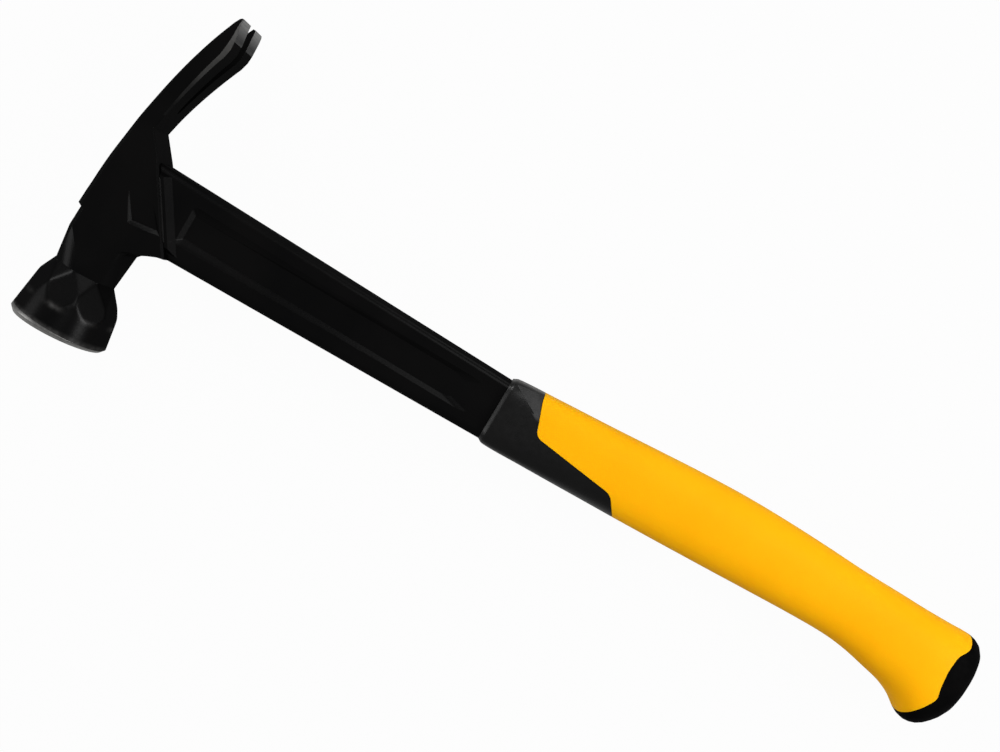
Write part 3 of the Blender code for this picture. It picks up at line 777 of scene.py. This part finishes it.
def shell_ramp(side):
    """Wedge that thickens a shell's head end towards the width of the cheeks."""
    floor = SHAFT_HALF - RAMP_SINK
    root = floor - RAMP_ROOT
    inset, slope = JOINT_ALONG * SHAFT_FILLET, JOINT_ALONG * (RAMP_TOP - floor)
    places = (
        (JOINT_BOTTOM + inset, floor),
        (JOINT_BOTTOM + inset + slope, RAMP_TOP),
        (JOINT_TOP - inset - slope, RAMP_TOP),
        (JOINT_TOP - inset, floor),
    )
    corners = []
    for place, high in places:
        profile = (
            (2 * GAP, root),
            (RAMP_LENGTH, root),
            (RAMP_LENGTH, floor),
            (RAMP_LAND, high),
            (2 * GAP, high),
        )
        corners += [place + Vector((away, 0, side * z)) for away, z in profile]
    return hulled(corners)


def shell_panel(side):
    """Cutter for the recess in a shell's side, with leaning walls and rounded corners."""
    corners = []
    for rise in (0, 2 * PANEL_DEPTH):
        spread, runout = (draft * rise / PANEL_DEPTH for draft in (PANEL_DRAFT, PANEL_RUNOUT))
        z = side * (SHAFT_HALF - PANEL_DEPTH + rise)
        start = (PANEL_START_X - spread, PANEL_START_HALF)
        end = (PANEL_END_X + runout, PANEL_END_HALF)
        for x, half in (start, end):
            corners += [(x, y, z) for y in (-half - spread, half + spread)]
    panel = hulled(corners)
    walls = [edge for edge in panel.edges if abs(edge.verts[0].co.z - edge.verts[1].co.z) > PANEL_DEPTH]
    rounded(panel, walls, PANEL_ROUND, segments=4)
    return panel


def make_shell(side, name, paint):
    """One half of the shaft: cut along the joint, thickened at the head and recessed on its side."""
    shell = skinned([shell_section(x, side) for x in (JOINT_TOP.x - SHELL_STOCK, SHAFT_END_X)])
    sliced = bmesh.ops.bisect_plane(
        shell,
        geom=shell.verts[:] + shell.edges[:] + shell.faces[:],
        plane_co=JOINT_TOP + JOINT_OUTWARD * 2 * GAP,
        plane_no=JOINT_OUTWARD,
        clear_inner=True,
    )
    rim = [part for part in sliced["geom_cut"] if isinstance(part, bmesh.types.BMEdge)]
    bmesh.ops.contextual_create(shell, geom=rim)
    bmesh.ops.recalc_face_normals(shell, faces=shell.faces[:])
    shell = worked(shell, shell_ramp(side), "UNION")
    shell = worked(shell, shell_panel(side))
    piece, node = f"shaft_half_{name}", f"shaft_shell_{name}"
    dressed(piece, shell, node, [paint], soft_edge=0.4, edge_angle=12)


def weld_bead(start, end, radius):
    """A bead between two points on a level, with the ripples that a weld leaves."""
    along = (end - start).normalized()
    across = Vector((0, 0, 1))
    other = along.cross(across)
    length = (end - start).length
    count = int(length / RIPPLE_PITCH * RIPPLE_STEPS)
    angles = [2 * math.pi * k / BEAD_POINTS for k in range(BEAD_POINTS)]
    rings = []
    for k in range(count + 1):
        phase = (k % RIPPLE_STEPS) / RIPPLE_STEPS
        thick = radius * (1 - RIPPLE_HEIGHT * (2 * phase - 1) ** 2)
        thick *= min(1.0, BEAD_END + BEAD_END_GROWTH * min(k, count - k))
        middle = start + along * (length * k / count)
        ring = []
        for angle in angles:
            ring.append(middle + across * (thick * math.cos(angle)) + other * (thick * math.sin(angle)))
        rings.append(ring)
    return skinned(rings)


def make_weld(piece, node, start, end, radius, paint):
    """One bead as a piece."""
    bead = weld_bead(start, end, radius)
    dressed(piece, bead, node, [paint], soft_edge=0.05, edge_angle=60)


def make_welds(paint):
    """Beads along the shells' two seams, then in the grooves of the joint on both cheeks."""
    for side, name, joint in ((1, "claw_side", JOINT_TOP), (-1, "face_side", JOINT_BOTTOM)):
        ends = []
        for x in (joint.x + SEAM_BEAD_START, COLLAR_X - SEAM_BEAD_CLEAR):
            ends.append(Vector((x, side * (shaft_half_width(x) - SEAM_BEAD_SINK), 0)))
        make_weld(f"seam_bead_{name}", f"seam_weld_{name}", *ends, SEAM_BEAD_RADIUS, paint)
    inset = JOINT_ALONG * JOINT_BEAD_INSET
    for side, name in ((1, "upper"), (-1, "lower")):
        rise = Vector((0, 0, side * (CHEEK_HALF - GROOVE)))
        ends = (JOINT_BOTTOM + rise + inset, JOINT_TOP + rise - inset)
        make_weld(f"joint_bead_{name}", f"head_weld_{name}", *ends, JOINT_BEAD_RADIUS, paint)


def grip_section(distance):
    """Rounded-square section of the grip at a distance from the collar's front."""
    high, low, half, squareness = eased(distance, GRIP_SECTIONS)
    ring = []
    for k in range(GRIP_POINTS):
        angle = 2 * math.pi * (k + 0.5) / GRIP_POINTS
        rise = math.copysign(abs(math.sin(angle)) ** (2 / squareness), math.sin(angle))
        out = math.copysign(abs(math.cos(angle)) ** (2 / squareness), math.cos(angle))
        ring.append((COLLAR_X + distance, (high - low) / 2 + (high + low) / 2 * rise, half * out))
    return ring


def grip_form():
    """Outer form that collar, soft grip and cap share, with finer steps at its rounded ends."""
    count = int(GRIP_LENGTH / GRIP_STEP)
    places = [GRIP_LENGTH * k / count for k in range(count + 1)]
    places[-1:-1] = [GRIP_LENGTH - step for step in GRIP_END_STEPS]
    places[1:1] = GRIP_FRONT_STEPS
    return skinned([grip_section(distance) for distance in places])


def collar_zone(growth):
    """Side view of the collar and its tongue, cut through the whole grip."""
    edge = [(COLLAR_X + x + growth, y + growth) for x, y in COLLAR_EDGE]
    front = COLLAR_X - ZONE_PAST
    outline = [(front, edge[0][1]), (front, edge[-1][1]), *reversed(edge)]
    return plate(outline, -ZONE_HALF, ZONE_HALF, COLLAR_ROUND)


def cap_zone(growth):
    """Side view of the butt cap, cut through the whole grip."""
    edge = [(GRIP_END_X - x - growth, y) for x, y in CAP_EDGE]
    past = GRIP_END_X + ZONE_PAST
    outline = [*edge, (past, edge[-1][1]), (past, edge[0][1])]
    return plate(outline, -ZONE_HALF, ZONE_HALF, CAP_ROUND)


def collar_flat(side):
    """Wedge that takes the collar's claw-side corner down to a flat beside the soft grip."""
    first, second, third = (Vector(point) for point in FLAT_POINTS)
    normal = (second - first).cross(third - first)
    corners = []
    for x, y in FLAT_REACH:
        level = first.z - (normal.x * (x - first.x) + normal.y * (y - first.y)) / normal.z
        corners += [(x, y, side * level), (x, y, side * (level + FLAT_CUTTER_HEIGHT))]
    return hulled(corners)


def make_grip(satin, matt, rubber):
    """Collar with its tongue, soft grip and end cap, cut from one form."""
    collar = worked(grip_form(), collar_zone(0), "INTERSECT")
    for side in (1, -1):
        collar = worked(collar, collar_flat(side))
    dressed("grip_collar", collar, "grip_core", [satin], soft_edge=0.5, edge_angle=35)
    soft = worked(grip_form(), collar_zone(GAP))
    soft = worked(soft, cap_zone(GAP))
    dressed("soft_grip", soft, "grip_overmould", [rubber], soft_edge=0.4, edge_angle=35)
    cap = worked(grip_form(), cap_zone(0), "INTERSECT")
    dressed("end_cap", cap, "butt_cap", [matt], soft_edge=0.5, edge_angle=35)


# Finishes

COAT_IOR = 2.5


class Finish:
    """A material with its Principled shader and a few ways to add grain to it."""

    def __init__(self, name, colour, roughness, metallic=0.0, specular=0.5):
        self.material = bpy.data.materials.new(name)
        self.material.use_nodes = True
        self.tree = self.material.node_tree
        self.shader = self.tree.nodes["Principled BSDF"]
        self.place = self.tree.nodes.new("ShaderNodeTexCoord").outputs["Object"]
        self.shader.inputs["Base Color"].default_value = (*colour, 1)
        self.shader.inputs["Roughness"].default_value = roughness
        self.shader.inputs["Metallic"].default_value = metallic
        self.shader.inputs["Specular IOR Level"].default_value = specular

    def coat(self, weight, roughness):
        """A clear gloss over the colour."""
        self.shader.inputs["Coat Weight"].default_value = weight
        self.shader.inputs["Coat Roughness"].default_value = roughness
        self.shader.inputs["Coat IOR"].default_value = COAT_IOR

    def stretched(self, scale):
        """Object coordinates drawn out by a scale along each axis."""
        mapping = self.tree.nodes.new("ShaderNodeMapping")
        mapping.inputs["Scale"].default_value = scale
        self.tree.links.new(self.place, mapping.inputs["Vector"])
        return mapping.outputs["Vector"]

    def noise(self, scale, detail=3.0, place=None):
        texture = self.tree.nodes.new("ShaderNodeTexNoise")
        texture.inputs["Scale"].default_value = scale
        texture.inputs["Detail"].default_value = detail
        self.tree.links.new(place or self.place, texture.inputs["Vector"])
        return texture.outputs["Fac"]

    def ramp(self, source, low, high, edge=0.3):
        """A colour or number that goes from low to high between stops set in from both ends by edge."""
        node = self.tree.nodes.new("ShaderNodeValToRGB")
        stops = ((edge, low), (1 - edge, high))
        for (place, colour), element in zip(stops, node.color_ramp.elements):
            element.position = place
            element.color = (*colour, 1) if isinstance(colour, tuple) else (colour, colour, colour, 1)
        self.tree.links.new(source, node.inputs["Fac"])
        return node.outputs["Color"]

    def along_y(self, start, end):
        """How far a place lies between two places of the hammer's Y, from 0 to 1."""
        split = self.tree.nodes.new("ShaderNodeSeparateXYZ")
        self.tree.links.new(self.place, split.inputs["Vector"])
        span = self.tree.nodes.new("ShaderNodeMapRange")
        span.inputs["From Min"].default_value = ORIGIN.y + start * MM
        span.inputs["From Max"].default_value = ORIGIN.y + end * MM
        self.tree.links.new(split.outputs["Y"], span.inputs["Value"])
        return span.outputs["Result"]

    def attribute(self, name):
        node = self.tree.nodes.new("ShaderNodeAttribute")
        node.attribute_name = name
        return node.outputs["Fac"]

    def blend(self, share, first, colour):
        """A colour source that gives way to one colour by a share."""
        node = self.tree.nodes.new("ShaderNodeMixRGB")
        node.inputs["Color2"].default_value = (*colour, 1)
        self.tree.links.new(share, node.inputs["Fac"])
        self.tree.links.new(first, node.inputs["Color1"])
        return node.outputs["Color"]

    def product(self, first, second):
        node = self.tree.nodes.new("ShaderNodeMath")
        node.operation = "MULTIPLY"
        self.tree.links.new(first, node.inputs[0])
        self.tree.links.new(second, node.inputs[1])
        return node.outputs["Value"]

    def colour_from(self, source):
        self.tree.links.new(source, self.shader.inputs["Base Color"])

    def roughness_from(self, source):
        self.tree.links.new(source, self.shader.inputs["Roughness"])

    def bump(self, source, strength, height):
        node = self.tree.nodes.new("ShaderNodeBump")
        node.inputs["Strength"].default_value = strength
        node.inputs["Distance"].default_value = height
        self.tree.links.new(source, node.inputs["Height"])
        self.tree.links.new(node.outputs["Normal"], self.shader.inputs["Normal"])
        self.tree.links.new(node.outputs["Normal"], self.shader.inputs["Coat Normal"])


def black_paint():
    """Satin paint, turned grey where the piece marks worn paint and painted highlights."""
    paint = Finish("black_paint_satin", (0.0016, 0.0016, 0.0017), 0.5, specular=0.0)
    paint.coat(weight=0.035, roughness=0.28)
    # Grey for worn paint and painted highlights, where the piece's mesh marks them
    worn_and_lit = paint.product(paint.attribute("wear_and_highlight"), paint.ramp(paint.noise(420), 0.35, 1.0, edge=0.35))
    clouds = paint.ramp(paint.noise(40), (0.0011, 0.0011, 0.0012), (0.0020, 0.0019, 0.0019), edge=0.35)
    paint.colour_from(paint.blend(worn_and_lit, clouds, (0.0450, 0.0440, 0.0430)))
    paint.roughness_from(paint.ramp(paint.noise(220), 0.42, 0.56))
    paint.bump(paint.noise(900, 2.0), 0.10, 0.0002)
    return paint.material


def rubbed_lit_paint():
    """Paint lightened along the claw's edges, more towards the tips: partly thinned by work, partly a
    painted highlight.
    """
    paint = Finish("black_paint_rubbed_lit", (0.010, 0.010, 0.010), 0.4, specular=0.05)
    paint.coat(weight=0.05, roughness=0.3)
    # Lighter towards the tips: rubbed paint and a painted highlight
    worn_and_lit = paint.product(paint.ramp(paint.noise(160, 4.0), 0.55, 1.0), paint.along_y(*RUBBED_LIT_FADE))
    paint.colour_from(paint.ramp(worn_and_lit, (0.0016, 0.0016, 0.0017), (0.0740, 0.0730, 0.0710), edge=0.05))
    paint.roughness_from(paint.ramp(paint.noise(500), 0.32, 0.5))
    paint.bump(paint.noise(900, 2.0), 0.08, 0.0002)
    return paint.material


def weld_paint():
    """The same paint over the welds' uneven skin."""
    paint = Finish("black_paint_weld", (0.0020, 0.0020, 0.0021), 0.45, specular=0.0)
    paint.coat(weight=0.04, roughness=0.32)
    clouds = paint.ramp(paint.noise(300), (0.0012, 0.0012, 0.0013), (0.0024, 0.0023, 0.0022), edge=0.35)
    paint.colour_from(clouds)
    paint.roughness_from(paint.ramp(paint.noise(500), 0.38, 0.52))
    paint.bump(paint.noise(1400, 2.0), 0.2, 0.0002)
    return paint.material


def ground_steel():
    """Steel of the claw's tips, ground bare at the ends and still dark where the paint starts."""
    steel = Finish("ground_steel", (0.20, 0.20, 0.19), 0.46, metallic=1.0)
    lines = steel.noise(1.0, 4.0, steel.stretched((2600, 2600, 60)))
    bare = steel.product(steel.ramp(lines, 0.55, 1.0), steel.along_y(*STEEL_FADE))
    steel.colour_from(steel.ramp(bare, (0.030, 0.030, 0.030), (0.42, 0.42, 0.41), edge=0.05))
    steel.roughness_from(steel.ramp(lines, 0.40, 0.54))
    steel.bump(lines, 0.12, 0.0001)
    return steel.material


def turned_steel():
    """Steel of the strike face, bright in front and still dark where the paint starts."""
    steel = Finish("turned_steel", (0.34, 0.335, 0.325), 0.42, metallic=1.0)
    lines = steel.noise(700, 4.0)
    bare = steel.product(steel.ramp(lines, 0.7, 1.0), steel.along_y(*FACE_FADE))
    steel.colour_from(steel.ramp(bare, (0.020, 0.020, 0.020), (0.38, 0.375, 0.365), edge=0.05))
    steel.roughness_from(steel.ramp(lines, 0.36, 0.50))
    steel.bump(lines, 0.08, 0.0001)
    return steel.material


def collar_nylon():
    """Moulded nylon with a soft gloss, which the flat beside the soft grip picks up."""
    nylon = Finish("black_nylon_satin", (0.0012, 0.0012, 0.0013), 0.3, specular=0.30)
    clouds = nylon.ramp(nylon.noise(60), (0.0009, 0.0009, 0.0010), (0.0015, 0.0015, 0.0014), edge=0.35)
    nylon.colour_from(clouds)
    nylon.roughness_from(nylon.ramp(nylon.noise(400), 0.27, 0.36))
    nylon.bump(nylon.noise(2200, 2.0), 0.12, 0.0002)
    return nylon.material


def cap_nylon():
    """The same nylon with the dull grain of a part that gets knocked about."""
    nylon = Finish("black_nylon_matt", (0.0016, 0.0016, 0.0017), 0.6, specular=0.01)
    clouds = nylon.ramp(nylon.noise(80), (0.0012, 0.0012, 0.0013), (0.0021, 0.0020, 0.0020), edge=0.35)
    nylon.colour_from(clouds)
    nylon.roughness_from(nylon.ramp(nylon.noise(400), 0.52, 0.66))
    nylon.bump(nylon.noise(1800, 2.0), 0.25, 0.0002)
    return nylon.material


def yellow_rubber():
    """Soft rubber that lets a little light in."""
    rubber = Finish("yellow_rubber_soft", (0.95, 0.43, 0.0015), 0.55, specular=0.05)
    rubber.shader.inputs["Subsurface Weight"].default_value = 0.2
    rubber.shader.inputs["Subsurface Radius"].default_value = (1.0, 0.4, 0.02)
    rubber.shader.inputs["Subsurface Scale"].default_value = 0.004
    rubber.colour_from(rubber.ramp(rubber.noise(35), (0.94, 0.418, 0.0012), (0.96, 0.442, 0.0018)))
    rubber.roughness_from(rubber.ramp(rubber.noise(300), 0.48, 0.62))
    rubber.bump(rubber.noise(1600, 2.0), 0.15, 0.0002)
    return rubber.material


# Stage


def white_share(tree, camera, glossy):
    """How far a ray sees plain white, by the kind of ray."""
    path = tree.nodes.new("ShaderNodeLightPath")
    shares = {"Is Camera Ray": camera, "Is Glossy Ray": glossy, "Is Transmission Ray": camera}
    seen = None
    for ray, share in shares.items():
        part = tree.nodes.new("ShaderNodeMath")
        part.operation = "MULTIPLY_ADD"
        part.inputs[1].default_value = share
        part.inputs[2].default_value = 0
        tree.links.new(path.outputs[ray], part.inputs[0])
        if seen:
            tree.links.new(seen, part.inputs[2])
        seen = part.outputs["Value"]
    return seen


def make_floor():
    """White floor that keeps the hammer's shadow."""
    shape = bmesh.new()
    bmesh.ops.create_grid(shape, x_segments=1, y_segments=1, size=FLOOR_SIZE)
    mesh = bpy.data.meshes.new("floor")
    shape.to_mesh(mesh)
    shape.free()
    floor = bpy.data.objects.new("floor", mesh)
    bpy.context.scene.collection.objects.link(floor)
    floor.location.z = CAD_BOX[0].z - FLOOR_DROP
    material = bpy.data.materials.new("white_floor")
    material.use_nodes = True
    tree = material.node_tree
    tree.nodes.remove(tree.nodes["Principled BSDF"])
    matt = tree.nodes.new("ShaderNodeBsdfDiffuse")
    matt.inputs["Color"].default_value = (FLOOR_GREY, FLOOR_GREY, FLOOR_GREY, 1)
    white = tree.nodes.new("ShaderNodeEmission")
    white.inputs["Strength"].default_value = 1.0
    mix = tree.nodes.new("ShaderNodeMixShader")
    tree.links.new(white_share(tree, *FLOOR_WHITE), mix.inputs["Fac"])
    tree.links.new(matt.outputs["BSDF"], mix.inputs[1])
    tree.links.new(white.outputs["Emission"], mix.inputs[2])
    tree.links.new(mix.outputs["Shader"], tree.nodes["Material Output"].inputs["Surface"])
    mesh.materials.append(material)


def make_world():
    """Even light from all round, with a white backdrop above the floor's far edge."""
    world = bpy.data.worlds.new("studio")
    world.use_nodes = True
    tree = world.node_tree
    sky = tree.nodes["Background"]
    sky.inputs["Color"].default_value = (1, 1, 1, 1)
    level = tree.nodes.new("ShaderNodeMapRange")
    level.inputs["To Min"].default_value = WORLD_LIGHT
    tree.links.new(white_share(tree, *WORLD_WHITE), level.inputs["Value"])
    tree.links.new(level.outputs["Result"], sky.inputs["Strength"])
    bpy.context.scene.world = world


def make_lamp(name, toward, distance, size, power, mirrored):
    """A square soft box that faces the hammer."""
    lamp = bpy.data.lights.new(name, "AREA")
    lamp.shape = "SQUARE"
    lamp.size = size
    lamp.energy = power
    holder = bpy.data.objects.new(name, lamp)
    bpy.context.scene.collection.objects.link(holder)
    direction = Vector(toward).normalized()
    holder.location = direction * distance
    holder.visible_glossy = mirrored
    holder.rotation_euler = direction.to_track_quat("Z", "Y").to_euler()


def make_camera():
    """Camera at the place and angle of the photograph."""
    lean, roll = math.radians(CAMERA_LEAN), math.radians(CAMERA_ROLL)
    back = Vector((0, math.sin(lean), math.cos(lean)))
    along = Vector((1, 0, 0))
    upward = back.cross(along)
    right = along * math.cos(roll) + upward * math.sin(roll)
    up = upward * math.cos(roll) - along * math.sin(roll)
    data = bpy.data.cameras.new("photo_view")
    data.sensor_fit = "HORIZONTAL"
    data.sensor_width = SENSOR_WIDTH
    data.lens = FOCAL_PIXELS / IMAGE_WIDTH * SENSOR_WIDTH
    data.clip_start = 0.01
    camera = bpy.data.objects.new("photo_view", data)
    bpy.context.scene.collection.objects.link(camera)
    turn = Matrix((right, up, back)).transposed().to_4x4()
    camera.matrix_world = Matrix.Translation(CAMERA_TARGET + back * CAMERA_DISTANCE) @ turn
    bpy.context.scene.camera = camera


def make_hammer():
    paint = black_paint()
    welded = weld_paint()
    rubbed_lit = rubbed_lit_paint()
    make_head(paint, ground_steel(), rubbed_lit)
    make_poll(paint, turned_steel())
    make_poll_weld(welded)
    for side, name in ((1, "upper"), (-1, "lower")):
        make_shell(side, name, paint)
    make_welds(welded)
    make_grip(collar_nylon(), cap_nylon(), yellow_rubber())


make_hammer()
make_floor()
make_world()
for lamp_row in LAMPS:
    make_lamp(*lamp_row)
make_camera()
bpy.context.scene.view_settings.view_transform = "Standard"

bpy.context.view_layer.update()
